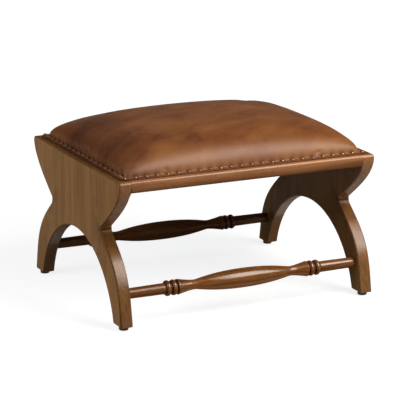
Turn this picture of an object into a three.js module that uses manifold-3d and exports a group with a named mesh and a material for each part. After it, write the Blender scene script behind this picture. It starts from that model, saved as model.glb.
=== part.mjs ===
// Upholstered footstool: two shaped end panels with arched feet, two rails and two turned
// stretchers between them, and a leather seat nailed over foam on a plywood deck.
// Millimetres, +Z up, +X along the seat, origin on the floor under the middle of the stool.

import * as THREE from "three";
import { mergeVertices } from "three/addons/utils/BufferGeometryUtils.js";
import Module from "manifold-3d";

const wasm = await Module();
wasm.setup();

// Overall sizes of the wooden frame.
const stool_length = 610;
const foot_depth = 500;
const top_depth = 498;
const frame_height = 316.5;

// Clearance left where two pieces meet, and how far a cut runs past the face it opens.
const fit_gap = 0.3;
const overrun = 2;

// End panels: an hourglass board with an arch between its two feet.
const panel_thickness = 28;
const panel_arris = 3;
const foot_width = 44;
const arch_height = 160;
const waist_depth = 282;
const waist_height = 185;
const waist_step = 11;
const top_corner_radius = 6;
const foot_curve_shares = [[0.88, 0.53], [0.734, 0.67]];
const top_curve_shares = [[0.417, 0.27], [1, 0.622]];
const curve_steps = 9;
const corner_steps = 3;
const arch_steps = 20;

// Rails along the front and the back, flush with the panels' top and edges.
const rail_height = 25;
const rail_thickness = 28;
const rail_arris = 5.5;
const rail_lower_arris = 2;

// Dowels that join each rail end to its panel.
const dowel_diameter = 8;
const dowel_depth_in_panel = 20;
const dowel_depth_in_rail = 22;
const dowel_spacing = 12;
const dowel_chamfer = 1;
const dowel_sides = 10;

// Turned stretchers between the feet, with a tenon at each end.
const stretcher_height = 63.5;
const stretcher_spread = 424;
const tenon_diameter = 19;
const tenon_length = 18;
const shoulder_diameter = 23;
const shank_diameter = 24.5;
const bead_diameter = 34.5;
const groove_diameter = 27;
const bead_width = 12;
const groove_width = 2.5;
const flare_diameter = 34.5;
const flare_lip = 2.5;
const neck_diameter = 21.3;
const bulb_diameter = 43;
const neck_offset = 117;
const flare_offset = 156;
const bulb_curve_shares = [0.64, 0.915];
const flare_curve_shares = [[0, 0.25], [0.65, 0.75]];
const bulb_steps = 6;
const flare_steps = 4;
const bead_steps = 4;
const turning_sides = 16;

// Glides under the feet, each driven in on its own nail.
const glide_height = 8.5;
const glide_diameter = 21;
const glide_edge = 1.5;
const glide_nail_diameter = 3;
const glide_nail_length = 16;
const glide_inset = 19;
const glide_sides = 14;

// Plywood deck, and the corner blocks and cleats that carry it.
const deck_thickness = 9;
const block_leg = 58;
const block_nose = 12;
const cleat_width = 16;
const cleat_clearance = 6;

// Screws: two through each corner block into the frame, and one up into the deck.
const screw_diameter = 4;
const screw_head_diameter = 8;
const screw_head_height = 2.8;
const screw_tip = 3;
const screw_bite = 18;
const screw_seat = 22;
const screw_offset = 40;
const deck_screw_bite = 6.5;
const deck_screw_offset = 18;
const screw_sides = 8;

// Leather cover: a flat nailed band round a crowned seat, over foam cut to the same crown.
const leather_edge_inset = 11.5;
const band_thickness = 3.2;
const leather_thickness = 1.5;
const crown_height = 70.3;
const crown_length_power = 2.15;
const crown_length_fullness = 0.254;
const crown_depth_power = 2.97;
const crown_depth_fullness = 0.346;
const seat_corner_power = 40;
const band_corner_power = 60;
const seat_rings = 12;
const side_steps = 10;

// Domed nails that hold the leather down, a row along each side.
const nail_pitch = 24.8;
const nail_inset = 20.5;
const nail_head_diameter = 10.5;
const nail_head_height = 2.8;
const nail_shoulder_shares = [0.62, 0.8];
const nail_link_width = 1.4;
const nail_link_height = 0.6;
const nail_sides = 6;

// Cloth dust cover stapled under the rails.
const dust_cover_thickness = 0.8;
const dust_cover_inset = 10;

// Heights and faces that several pieces share.
const leg_bottom = glide_height;
const frame_top = leg_bottom + frame_height;
const rail_bottom = frame_top - rail_height;
const panel_inner = stool_length / 2 - panel_thickness;
const panel_middle = stool_length / 2 - panel_thickness / 2;
const rail_outer = top_depth / 2;
const rail_inner = rail_outer - rail_thickness;
const rail_middle = (rail_outer + rail_inner) / 2;
const deck_bottom = frame_top - deck_thickness;
const block_top = deck_bottom - fit_gap;
const block_height = block_top - rail_bottom;
const block_middle = rail_bottom + block_height / 2;
const stretcher_level = leg_bottom + stretcher_height;
const band_bottom = frame_top + fit_gap;
const band_top = band_bottom + band_thickness;

const walnut = new THREE.MeshStandardMaterial({ color: 0x7a5234, roughness: 0.42, metalness: 0 });
const hardwood = new THREE.MeshStandardMaterial({ color: 0xc49a6c, roughness: 0.7, metalness: 0 });
const plywood = new THREE.MeshStandardMaterial({ color: 0xc8a878, roughness: 0.75, metalness: 0 });
const leather = new THREE.MeshStandardMaterial({ color: 0x7c4526, roughness: 0.4, metalness: 0 });
const foam = new THREE.MeshStandardMaterial({ color: 0xe8dfb8, roughness: 0.95, metalness: 0 });
const cloth = new THREE.MeshStandardMaterial({ color: 0x1d1c1b, roughness: 0.95, metalness: 0 });
const brass = new THREE.MeshStandardMaterial({ color: 0x8a5a3a, roughness: 0.35, metalness: 0.9 });
const steel = new THREE.MeshStandardMaterial({ color: 0xb9b7ae, roughness: 0.4, metalness: 0.9 });
const glide_plastic = new THREE.MeshStandardMaterial({ color: 0x1a130e, roughness: 0.5, metalness: 0 });

const stool = new THREE.Group();

function place(name, geometry, material) {
  const mesh = new THREE.Mesh(geometry, material);
  mesh.name = name;
  stool.add(mesh);
  return mesh;
}

// A geometry with only its positions, so that shared corners merge and the skin closes.
function welded(geometry) {
  geometry.deleteAttribute("normal");
  geometry.deleteAttribute("uv");
  return mergeVertices(geometry);
}

function solid(geometry) {
  const skin = welded(geometry);
  return new wasm.Manifold(new wasm.Mesh({
    numProp: 3,
    vertProperties: new Float32Array(skin.attributes.position.array),
    triVerts: new Uint32Array(skin.index.array),
  }));
}

function shell(manifold) {
  const mesh = manifold.getMesh();
  const geometry = new THREE.BufferGeometry();
  geometry.setAttribute("position", new THREE.BufferAttribute(mesh.vertProperties, 3));
  geometry.setIndex(new THREE.BufferAttribute(mesh.triVerts, 1));
  return geometry;
}

function cut(geometry, tools) {
  return shell(tools.reduce((body, tool) => body.subtract(solid(tool)), solid(geometry)));
}

// Turns an outline drawn as (y, z) and extruded along its own z into one that runs along X.
const along_x = new THREE.Matrix4().makeBasis(
  new THREE.Vector3(0, 1, 0),
  new THREE.Vector3(0, 0, 1),
  new THREE.Vector3(1, 0, 0),
);

// A round bar from one point to another; the profile is a list of [radius, distance].
function turned(profile, from, direction, sides) {
  const points = profile.map(([radius, distance]) => new THREE.Vector2(radius, distance));
  const geometry = new THREE.LatheGeometry(points, sides);
  const turn = new THREE.Quaternion().setFromUnitVectors(new THREE.Vector3(0, 1, 0), direction);
  geometry.applyQuaternion(turn);
  return geometry.translate(from.x, from.y, from.z);
}

function rod(radius, from, direction, length, sides) {
  return turned([[0, 0], [radius, 0], [radius, length], [0, length]], from, direction, sides);
}

const right = new THREE.Vector3(1, 0, 0);
const left = new THREE.Vector3(-1, 0, 0);
const up = new THREE.Vector3(0, 0, 1);
const along_side = (side) => (side > 0 ? right : left);
const along_depth = (side) => new THREE.Vector3(0, side, 0);

// The half outline of an end panel from the top middle down to the arch, for one side in y.
function panel_outline() {
  const foot_edge = foot_depth / 2;
  const top_edge = top_depth / 2;
  const waist = waist_depth / 2;
  const step_top = waist_height + waist_step;
  const upper = frame_height - top_corner_radius - step_top;
  const half_arch = foot_edge - foot_width;
  const arch_radius = (half_arch ** 2 + arch_height ** 2) / (2 * arch_height);
  const arch_centre = arch_height - arch_radius;
  const arch_angle = Math.asin(half_arch / arch_radius);

  const upper_handles = top_curve_shares.map(([depth, rise]) => new THREE.Vector2(
    waist + depth * (top_edge - waist), step_top + rise * (upper + top_corner_radius)));
  const foot_handles = foot_curve_shares.map(([depth, rise]) => new THREE.Vector2(
    waist + depth * (foot_edge - waist), rise * waist_height));

  const side = [];
  const corner = new THREE.Path().absarc(
    top_edge - top_corner_radius, frame_height - top_corner_radius, top_corner_radius,
    Math.PI / 2, 0, true);
  side.push(...corner.getPoints(corner_steps));
  const upper_curve = new THREE.CubicBezierCurve(
    new THREE.Vector2(top_edge, frame_height - top_corner_radius),
    upper_handles[1], upper_handles[0], new THREE.Vector2(waist, step_top));
  side.push(...upper_curve.getPoints(curve_steps).slice(1));
  const foot_curve = new THREE.CubicBezierCurve(
    new THREE.Vector2(waist, waist_height), foot_handles[1], foot_handles[0],
    new THREE.Vector2(foot_edge, 0));
  side.push(...foot_curve.getPoints(curve_steps));

  const arch = new THREE.Path().absarc(
    0, arch_centre, arch_radius, Math.PI / 2 - arch_angle, Math.PI / 2 + arch_angle, false);
  const mirrored = side.map((point) => new THREE.Vector2(-point.x, point.y)).reverse();
  return [...side, ...arch.getPoints(arch_steps), ...mirrored];
}

const dowel_places = [-1, 1].map((step) => rail_middle + step * dowel_spacing / 2);
const dowel_level = rail_bottom + rail_height / 2;
const dowel_hole = dowel_diameter / 2 + fit_gap;

// The sinkings in one end panel: rail dowels, stretcher tenons, block screws and glide nails.
function panel_sinkings(side) {
  const sinkings = [];
  const into = along_side(side);
  const inner_face = side * (panel_inner - overrun);
  for (const edge of [-1, 1]) {
    for (const depth of dowel_places) {
      const mouth = new THREE.Vector3(inner_face, edge * depth, dowel_level);
      const length = overrun + dowel_depth_in_panel + fit_gap;
      sinkings.push(rod(dowel_hole, mouth, into, length, dowel_sides));
    }
    const tenon = new THREE.Vector3(inner_face, edge * stretcher_spread / 2, stretcher_level);
    const tenon_radius = tenon_diameter / 2 + fit_gap;
    sinkings.push(rod(tenon_radius, tenon, into, overrun + tenon_length + fit_gap, turning_sides));
    const screw = new THREE.Vector3(inner_face, edge * (rail_inner - screw_offset), block_middle);
    const screw_radius = screw_diameter / 2 + fit_gap;
    sinkings.push(rod(screw_radius, screw, into, overrun + screw_bite + fit_gap, screw_sides));
    const glide = new THREE.Vector3(
      side * panel_middle, edge * (foot_depth / 2 - glide_inset), leg_bottom - overrun);
    const nail_radius = glide_nail_diameter / 2 + fit_gap;
    const nail_depth = overrun + glide_nail_length + fit_gap;
    sinkings.push(rod(nail_radius, glide, up, nail_depth, screw_sides));
  }
  return sinkings;
}

function end_panel(side) {
  const board = new THREE.ExtrudeGeometry(new THREE.Shape(panel_outline()), {
    depth: panel_thickness - 2 * panel_arris,
    bevelThickness: panel_arris,
    bevelSize: panel_arris,
    bevelOffset: -panel_arris,
    bevelSegments: 2,
    curveSegments: 1,
  });
  board.applyMatrix4(along_x);
  board.translate(side * panel_middle - panel_thickness / 2 + panel_arris, 0, leg_bottom);
  return cut(board, panel_sinkings(side));
}

place("left_end_panel", end_panel(-1), walnut);
place("right_end_panel", end_panel(1), walnut);

// A rail: square where it meets the deck, eased along its show edges.
function rail(side) {
  const outline = new THREE.Shape();
  const outer = rail_outer;
  outline.moveTo(rail_inner, rail_bottom);
  outline.lineTo(outer - rail_lower_arris, rail_bottom);
  outline.absarc(
    outer - rail_lower_arris, rail_bottom + rail_lower_arris, rail_lower_arris,
    -Math.PI / 2, 0, false);
  outline.lineTo(outer, frame_top - rail_arris);
  outline.absarc(outer - rail_arris, frame_top - rail_arris, rail_arris, 0, Math.PI / 2, false);
  outline.lineTo(rail_inner, frame_top);
  const length = 2 * (panel_inner - fit_gap);
  const bar = new THREE.ExtrudeGeometry(outline, {
    depth: length,
    bevelEnabled: false,
    curveSegments: corner_steps,
  });
  bar.applyMatrix4(along_x);
  bar.translate(-length / 2, 0, 0);
  if (side < 0) {
    bar.rotateZ(Math.PI);
  }

  const sinkings = [];
  for (const end of [-1, 1]) {
    for (const depth of dowel_places) {
      const mouth = new THREE.Vector3(end * (panel_inner + overrun), side * depth, dowel_level);
      const length_in = overrun + dowel_depth_in_rail + fit_gap;
      sinkings.push(rod(dowel_hole, mouth, along_side(-end), length_in, dowel_sides));
    }
    const mouth = new THREE.Vector3(
      end * (panel_inner - screw_offset), side * (rail_inner - overrun), block_middle);
    const screw_radius = screw_diameter / 2 + fit_gap;
    const length_in = overrun + screw_bite + fit_gap;
    sinkings.push(rod(screw_radius, mouth, along_depth(side), length_in, screw_sides));
  }
  return cut(bar, sinkings);
}

place("front_rail", rail(-1), walnut);
place("back_rail", rail(1), walnut);

// Dowels, chamfered at both ends, half in the panel and half in the rail.
function dowel(end, side, depth) {
  const radius = dowel_diameter / 2;
  const length = dowel_depth_in_panel + dowel_depth_in_rail;
  const profile = [
    [0, 0], [radius - dowel_chamfer, 0], [radius, dowel_chamfer],
    [radius, length - dowel_chamfer], [radius - dowel_chamfer, length], [0, length],
  ];
  const start = end * (panel_inner + dowel_depth_in_panel);
  const from = new THREE.Vector3(start, side * depth, dowel_level);
  return turned(profile, from, along_side(-end), dowel_sides);
}

const corners = [
  ["front_left", -1, -1], ["front_right", 1, -1], ["back_left", -1, 1], ["back_right", 1, 1],
];
for (const [corner, end, side] of corners) {
  place(`${corner}_inner_dowel`, dowel(end, side, dowel_places[0]), hardwood);
  place(`${corner}_outer_dowel`, dowel(end, side, dowel_places[1]), hardwood);
}

// The turning of a stretcher from its middle out to the end of its tenon.
function stretcher_half() {
  const bulb = bulb_diameter / 2;
  const neck = neck_diameter / 2;
  const flare = flare_diameter / 2;
  const groove = groove_diameter / 2;
  const bead = bead_diameter / 2;
  const half = [];
  const swell = new THREE.CubicBezierCurve(
    new THREE.Vector2(bulb, 0),
    new THREE.Vector2(bulb, bulb_curve_shares[0] * neck_offset),
    new THREE.Vector2(neck, bulb_curve_shares[1] * neck_offset),
    new THREE.Vector2(neck, neck_offset));
  half.push(...swell.getPoints(bulb_steps));
  const [first_handle, second_handle] = flare_curve_shares.map(([rise, run]) => (
    new THREE.Vector2(
      neck + rise * (flare - neck), neck_offset + run * (flare_offset - neck_offset))));
  const vase = new THREE.CubicBezierCurve(
    new THREE.Vector2(neck, neck_offset), first_handle, second_handle,
    new THREE.Vector2(flare, flare_offset));
  half.push(...vase.getPoints(flare_steps).slice(1));

  let edge = flare_offset + flare_lip;
  for (let bead_number = 0; bead_number < 2; bead_number += 1) {
    half.push(new THREE.Vector2(groove, edge));
    edge += groove_width;
    for (let step = 0; step <= bead_steps; step += 1) {
      const turn = Math.PI * step / bead_steps;
      const radius = groove + (bead - groove) * Math.sin(turn);
      half.push(new THREE.Vector2(radius, edge + bead_width * (1 - Math.cos(turn)) / 2));
    }
    edge += bead_width;
  }

  const shoulder = panel_inner - fit_gap;
  const tenon_end = panel_inner + tenon_length;
  half.push(new THREE.Vector2(shank_diameter / 2, edge + groove_width));
  half.push(new THREE.Vector2(shoulder_diameter / 2, shoulder));
  half.push(new THREE.Vector2(tenon_diameter / 2, shoulder));
  half.push(new THREE.Vector2(tenon_diameter / 2, tenon_end));
  half.push(new THREE.Vector2(0, tenon_end));
  return half;
}

function stretcher(side) {
  const half = stretcher_half();
  const mirrored = half.slice(1).map((point) => new THREE.Vector2(point.x, -point.y)).reverse();
  const geometry = new THREE.LatheGeometry([...mirrored, ...half], turning_sides);
  geometry.rotateZ(-Math.PI / 2);
  return welded(geometry.translate(0, side * stretcher_spread / 2, stretcher_level));
}

place("front_stretcher", stretcher(-1), walnut);
place("back_stretcher", stretcher(1), walnut);

// A flat base with an eased edge, and the nail that stands in the foot.
function glide(end, side) {
  const radius = glide_diameter / 2;
  const nail = glide_nail_diameter / 2;
  const base = glide_height - fit_gap;
  const profile = [
    [0, 0], [radius - glide_edge, 0], [radius, glide_edge], [radius, base - glide_edge],
    [radius - glide_edge, base], [nail, base],
    [nail, glide_height + glide_nail_length], [0, glide_height + glide_nail_length],
  ];
  const from = new THREE.Vector3(
    end * panel_middle, side * (foot_depth / 2 - glide_inset), 0);
  return turned(profile, from, up, glide_sides);
}

for (const [corner, end, side] of corners) {
  place(`${corner}_glide`, glide(end, side), glide_plastic);
}

// Corner blocks, drawn from the inner corner of the frame and mirrored into each corner.
const countersink_radius = screw_head_diameter / 2 + fit_gap;

function corner_block(end, side) {
  const outline = new THREE.Shape([
    [fit_gap, fit_gap], [block_leg, fit_gap], [block_leg, block_nose],
    [block_nose, block_leg], [fit_gap, block_leg],
  ].map(([run, rise]) => new THREE.Vector2(
    end * (panel_inner - run), side * (rail_inner - rise))));
  const block = new THREE.ExtrudeGeometry(outline, { depth: block_height, bevelEnabled: false });
  block.translate(0, 0, rail_bottom);

  const hole = screw_diameter / 2 + fit_gap;
  const reach = block_leg + overrun;
  const far_x = end * (panel_inner - reach);
  const far_y = side * (rail_inner - reach);
  const rail_screw_x = end * (panel_inner - screw_offset);
  const panel_screw_y = side * (rail_inner - screw_offset);
  const deck_x = end * (panel_inner - deck_screw_offset);
  const deck_y = side * (rail_inner - deck_screw_offset);
  const pocket = reach - screw_seat;
  return cut(block, [
    rod(hole, new THREE.Vector3(rail_screw_x, far_y, block_middle), along_depth(side),
      reach + overrun, screw_sides),
    rod(countersink_radius, new THREE.Vector3(rail_screw_x, far_y, block_middle),
      along_depth(side), pocket, screw_sides),
    rod(hole, new THREE.Vector3(far_x, panel_screw_y, block_middle), along_side(end),
      reach + overrun, screw_sides),
    rod(countersink_radius, new THREE.Vector3(far_x, panel_screw_y, block_middle),
      along_side(end), pocket, screw_sides),
    rod(hole, new THREE.Vector3(deck_x, deck_y, rail_bottom - overrun), up,
      block_height + 2 * overrun, screw_sides),
    rod(countersink_radius, new THREE.Vector3(deck_x, deck_y, rail_bottom - overrun), up,
      overrun + screw_head_height + fit_gap, screw_sides),
  ]);
}

// A pan-head screw from the underside of its head, pointing along its drive direction.
function screw(head_seat, direction, length) {
  const radius = screw_diameter / 2;
  const head = screw_head_diameter / 2;
  const from = head_seat.clone().addScaledVector(direction, -screw_head_height);
  const profile = [
    [0, 0], [head, 0], [head, screw_head_height], [radius, screw_head_height],
    [radius, screw_head_height + length - screw_tip], [0, screw_head_height + length],
  ];
  return turned(profile, from, direction, screw_sides);
}

for (const [corner, end, side] of corners) {
  place(`${corner}_corner_block`, corner_block(end, side), hardwood);
  const seat = screw_seat + fit_gap;
  const into_rail = new THREE.Vector3(
    end * (panel_inner - screw_offset), side * (rail_inner - seat), block_middle);
  place(`${corner}_rail_screw`, screw(into_rail, along_depth(side), seat + screw_bite), steel);
  const into_panel = new THREE.Vector3(
    end * (panel_inner - seat), side * (rail_inner - screw_offset), block_middle);
  place(`${corner}_panel_screw`, screw(into_panel, along_side(end), seat + screw_bite), steel);
  const into_deck = new THREE.Vector3(
    end * (panel_inner - deck_screw_offset), side * (rail_inner - deck_screw_offset),
    rail_bottom + screw_head_height);
  const deck_reach = block_height - screw_head_height + fit_gap + deck_screw_bite;
  place(`${corner}_deck_screw`, screw(into_deck, up, deck_reach), steel);
}

// Deck and the two cleats glued to the rails under it.
const deck = new THREE.BoxGeometry(
  2 * (panel_inner - fit_gap), 2 * (rail_inner - fit_gap), deck_thickness);
deck.translate(0, 0, deck_bottom + deck_thickness / 2);
const deck_sinkings = corners.map(([, end, side]) => rod(
  screw_diameter / 2 + fit_gap,
  new THREE.Vector3(
    end * (panel_inner - deck_screw_offset), side * (rail_inner - deck_screw_offset),
    deck_bottom - overrun),
  up, overrun + deck_screw_bite + fit_gap, screw_sides));
place("seat_deck", cut(deck, deck_sinkings), plywood);

for (const [name, side] of [["front_cleat", -1], ["back_cleat", 1]]) {
  const length = 2 * (panel_inner - block_leg - cleat_clearance);
  const cleat = new THREE.BoxGeometry(length, cleat_width, block_height);
  cleat.translate(0, side * (rail_inner - fit_gap - cleat_width / 2), block_middle);
  place(name, welded(cleat), hardwood);
}

// Rings of points over the seat. Each ring is a rectangle with rounded corners, and its
// points crowd towards the corners; a share of 1 is the rim of the crown.
const ring_directions = [];
for (let quarter = 0; quarter < 4; quarter += 1) {
  for (let step = 0; step < side_steps; step += 1) {
    const slope = Math.sin(Math.PI * (step / side_steps - 1 / 2));
    const turn = quarter * Math.PI / 2;
    ring_directions.push([
      Math.cos(turn) - slope * Math.sin(turn), Math.sin(turn) + slope * Math.cos(turn),
    ]);
  }
}

function rounded(direction, power) {
  const [across, deep] = direction;
  return (Math.abs(across) ** power + Math.abs(deep) ** power) ** (-1 / power);
}

function flat_ring(half_length, half_depth, height, power) {
  return ring_directions.map((direction) => {
    const shrink = rounded(direction, power);
    return [direction[0] * half_length * shrink, direction[1] * half_depth * shrink, height];
  });
}

function crown(share_x, share_y) {
  const lengthwise = 1 - Math.min(1, Math.abs(share_x)) ** crown_length_power;
  const depthwise = 1 - Math.min(1, Math.abs(share_y)) ** crown_depth_power;
  return lengthwise ** crown_length_fullness * depthwise ** crown_depth_fullness;
}

// Rings of a crowned skin from near its middle out to its rim, set in by a given amount.
function crown_rings(set_in, rim_height, count) {
  const half_length = panel_inner - set_in;
  const half_depth = rail_inner - set_in;
  const rise = band_top + crown_height - set_in - rim_height;
  const rings = [];
  for (let ring = 1; ring <= count; ring += 1) {
    const share = Math.sin(Math.PI / 2 * ring / count);
    rings.push(ring_directions.map((direction) => {
      const shrink = rounded(direction, seat_corner_power);
      const lift = ring === count ? 0 : rise * crown(share * direction[0], share * direction[1]);
      return [
        direction[0] * share * half_length * shrink,
        direction[1] * share * half_depth * shrink,
        rim_height + lift,
      ];
    }));
  }
  return { middle: [0, 0, rim_height + rise], rings };
}

// A closed skin over a stack of rings, with a point at its start and another at its end.
// Each four-sided patch is folded along its higher diagonal, so it stands proud.
function ring_skin(first, rings, last) {
  const sides = ring_directions.length;
  const points = [first, ...rings.flat(), last];
  const faces = [];
  const at = (ring, step) => 1 + ring * sides + step % sides;
  for (let step = 0; step < sides; step += 1) {
    faces.push(0, at(0, step), at(0, step + 1));
    for (let ring = 0; ring < rings.length - 1; ring += 1) {
      const near = at(ring, step);
      const next = at(ring + 1, step);
      const far = at(ring + 1, step + 1);
      const beside = at(ring, step + 1);
      if (points[near][2] + points[far][2] >= points[next][2] + points[beside][2]) {
        faces.push(near, next, far, near, far, beside);
      } else {
        faces.push(near, next, beside, next, far, beside);
      }
    }
    faces.push(points.length - 1, at(rings.length - 1, step + 1), at(rings.length - 1, step));
  }
  const geometry = new THREE.BufferGeometry();
  geometry.setAttribute("position", new THREE.Float32BufferAttribute(points.flat(), 3));
  geometry.setIndex(faces);
  return geometry;
}

const leather_half_length = stool_length / 2 - leather_edge_inset;
const leather_half_depth = rail_outer - leather_edge_inset;
const outside = crown_rings(0, band_top, seat_rings);
const inside = crown_rings(leather_thickness, band_bottom, seat_rings);
const leather_skin = ring_skin(outside.middle, [
  ...outside.rings,
  flat_ring(leather_half_length, leather_half_depth, band_top, band_corner_power),
  flat_ring(leather_half_length, leather_half_depth, band_bottom, band_corner_power),
  ...inside.rings.reverse(),
], inside.middle);
place("leather_cover", leather_skin, leather);

const filling = crown_rings(leather_thickness + fit_gap, band_bottom, seat_rings);
place("foam_pad", ring_skin(filling.middle, filling.rings, [0, 0, band_bottom]), foam);

// A row of nail heads on the leather band, linked under their rims by a thin strip.
function nail_row(start, direction, count, pitch) {
  const radius = nail_head_diameter / 2;
  const [shoulder, rise] = nail_shoulder_shares;
  const profile = [
    [0, 0], [radius, 0], [radius * shoulder, nail_head_height * rise], [0, nail_head_height],
  ];
  const seat = band_top + fit_gap;
  const run = pitch * (count - 1);
  const middle = start.clone().addScaledVector(direction, run / 2);
  const link = new THREE.BoxGeometry(
    Math.abs(direction.x) * run + nail_link_width,
    Math.abs(direction.y) * run + nail_link_width,
    nail_link_height);
  link.translate(middle.x, middle.y, seat + nail_link_height / 2);
  let row = solid(link);
  for (let number = 0; number < count; number += 1) {
    const at = start.clone().addScaledVector(direction, pitch * number).setZ(seat);
    row = row.add(solid(turned(profile, at, up, nail_sides)));
  }
  return shell(row);
}

const nail_x = stool_length / 2 - nail_inset;
const nail_y = rail_outer - nail_inset;
const long_spaces = Math.round(2 * nail_x / nail_pitch);
const long_pitch = 2 * nail_x / long_spaces;
const short_spaces = Math.round(2 * nail_y / nail_pitch);
const short_pitch = 2 * nail_y / short_spaces;
for (const [name, side] of [["front_nail_row", -1], ["back_nail_row", 1]]) {
  const start = new THREE.Vector3(-nail_x, side * nail_y, 0);
  place(name, nail_row(start, right, long_spaces + 1, long_pitch), brass);
}
for (const [name, end] of [["left_nail_row", -1], ["right_nail_row", 1]]) {
  const start = new THREE.Vector3(end * nail_x, short_pitch - nail_y, 0);
  place(name, nail_row(start, along_depth(1), short_spaces - 1, short_pitch), brass);
}

const dust_cover = new THREE.BoxGeometry(
  2 * (panel_inner - fit_gap), 2 * (rail_outer - dust_cover_inset), dust_cover_thickness);
dust_cover.translate(0, 0, rail_bottom - fit_gap - dust_cover_thickness / 2);
place("dust_cover", welded(dust_cover), cloth);

export default stool;
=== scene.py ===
import math
import random

import bmesh
import bpy
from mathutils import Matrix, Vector, noise


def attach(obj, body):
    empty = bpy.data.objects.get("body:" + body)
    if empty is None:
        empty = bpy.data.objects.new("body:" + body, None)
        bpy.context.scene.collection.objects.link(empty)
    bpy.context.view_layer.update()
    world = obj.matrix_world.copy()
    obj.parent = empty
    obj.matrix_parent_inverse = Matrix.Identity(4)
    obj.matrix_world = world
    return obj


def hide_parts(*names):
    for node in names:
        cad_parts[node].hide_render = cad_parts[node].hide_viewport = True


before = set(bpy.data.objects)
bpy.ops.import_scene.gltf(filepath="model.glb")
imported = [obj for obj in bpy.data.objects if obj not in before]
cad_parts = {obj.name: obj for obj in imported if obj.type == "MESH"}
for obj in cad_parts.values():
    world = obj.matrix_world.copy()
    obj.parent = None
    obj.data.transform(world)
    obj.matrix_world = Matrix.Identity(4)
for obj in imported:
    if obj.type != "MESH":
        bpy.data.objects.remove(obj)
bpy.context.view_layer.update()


# Camera. It stands well back with a long lens and looks down a little on the front left
# corner of the stool, at the photograph's viewing angle.
view_turn = math.radians(-25.47)
view_tilt = math.radians(14.76)
view_distance = 4.457
view_middle = Vector((-0.0017, 0, 0.1967))


def facing(direction):
    """The turn that points an object's Z axis in a direction."""
    return Vector(direction).to_track_quat("Z", "Y").to_euler()


towards_camera = Vector((
    math.sin(view_turn) * math.cos(view_tilt),
    -math.cos(view_turn) * math.cos(view_tilt),
    math.sin(view_tilt)))
bpy.ops.object.camera_add(
    location=view_middle + view_distance * towards_camera, rotation=facing(towards_camera))
camera = bpy.context.object
camera.name = "studio_camera"
camera.data.sensor_width = 36
camera.data.lens = 177.504
camera.data.clip_end = 100
bpy.context.scene.camera = camera


# End panels. Each is an upright board, walnut veneered on its faces and stained on its sawn
# edges, cut to an hourglass with an arch between its two feet. Its long edges are rounded
# over by hand, but left square where a rail or the seat deck butts against them.
panel_outer = 0.305
panel_inner = 0.277
frame_top = 0.325
rail_bottom = 0.3
leg_bottom = 0.0085
rail_outer = 0.249
rail_inner = 0.221
rail_round = 0.0048
panel_round = 0.0032
toe_round = 0.0018
top_shade_end = 0.2385
stretcher_y = 0.212
stretcher_z = 0.072
glide_x = 0.291
glide_y = 0.231
dowel_hole = 0.0086
dowel_ys = (0.229, 0.241)
dowel_z = 0.3125
tenon_hole = 0.0196
screw_hole = 0.0046
screw_z = 0.3079
glide_nail_hole = 0.0036
upright = (0, 0, 0)
lengthwise = (0, math.pi / 2, 0)
near = 0.0001            # a point this near to a plane lies on it
weld = 0.00002           # points this near to each other are one


def select_only(piece):
    bpy.ops.object.select_all(action="DESELECT")
    piece.select_set(True)
    bpy.context.view_layer.objects.active = piece


def copy_of(piece):
    select_only(piece)
    bpy.ops.object.duplicate()
    return bpy.context.object


def join(pieces):
    """Joins pieces into the first of them."""
    select_only(pieces[0])
    for piece in pieces:
        piece.select_set(True)
    bpy.ops.object.join()
    return bpy.context.object


def apply_modifier(piece, kind, **settings):
    select_only(piece)
    bpy.ops.object.modifier_add(type=kind)
    added = piece.modifiers[-1]
    for name, value in settings.items():
        setattr(added, name, value)
    bpy.ops.object.modifier_apply(modifier=added.name)


def select_mesh():
    bpy.ops.mesh.select_all(action="SELECT")


def open_for_editing(piece, element="EDGE"):
    """Opens a piece in edit mode, with all of it selected."""
    select_only(piece)
    bpy.ops.object.mode_set(mode="EDIT")
    bpy.ops.mesh.select_mode(type=element)
    select_mesh()


def close_editing():
    bpy.ops.object.mode_set(mode="OBJECT")


def face_outward():
    """Turns all faces outward, in edit mode."""
    select_mesh()
    bpy.ops.mesh.normals_make_consistent(inside=False)


def round_edges(piece, radius, segments, wanted):
    """Rounds over, in edit mode, the edges whose two ends satisfy wanted(end, end)."""
    bpy.ops.mesh.select_all(action="DESELECT")
    skin = bmesh.from_edit_mesh(piece.data)
    for edge in skin.edges:
        if wanted(edge.verts[0].co, edge.verts[1].co):
            edge.select_set(True)
    bmesh.update_edit_mesh(piece.data)
    bpy.ops.mesh.bevel(offset=radius, segments=segments)


def draw_line(name, stations, resolution, closed):
    """Draws a line through stations of (point, handle before, handle after), and makes it a
    mesh wire. A handle of None makes that side of the point straight."""
    bpy.ops.curve.primitive_bezier_curve_add(location=(0, 0, 0))
    line = bpy.context.object
    line.name = name
    line.data.dimensions = "3D"
    spline = line.data.splines[0]
    spline.bezier_points.add(len(stations) - 2)
    spline.use_cyclic_u = closed
    spline.resolution_u = resolution
    for knot, (point, before, after) in zip(spline.bezier_points, stations):
        knot.handle_left_type = "FREE" if before else "VECTOR"
        knot.handle_right_type = "FREE" if after else "VECTOR"
        knot.co = point
        knot.handle_left = before or point
        knot.handle_right = after or point
    bpy.ops.object.convert(target="MESH")
    return bpy.context.object


def drill_bit(diameter, length, middle, along=(1, 0, 0)):
    bpy.ops.mesh.primitive_cylinder_add(
        vertices=24, radius=diameter / 2, depth=length, location=middle, rotation=facing(along))
    bpy.ops.object.transform_apply()
    return bpy.context.object


def cut_holes(piece, bits):
    drill = join(bits)
    apply_modifier(piece, "BOOLEAN", operation="DIFFERENCE", solver="EXACT", object=drill)
    bpy.data.objects.remove(drill)


def smooth_piece(piece, angle=32):
    """Smooths the rounds of a piece and keeps its flats flat."""
    select_only(piece)
    bpy.ops.object.shade_smooth_by_angle(angle=math.radians(angle))
    apply_modifier(piece, "WEIGHTED_NORMAL", keep_sharp=True)


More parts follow.
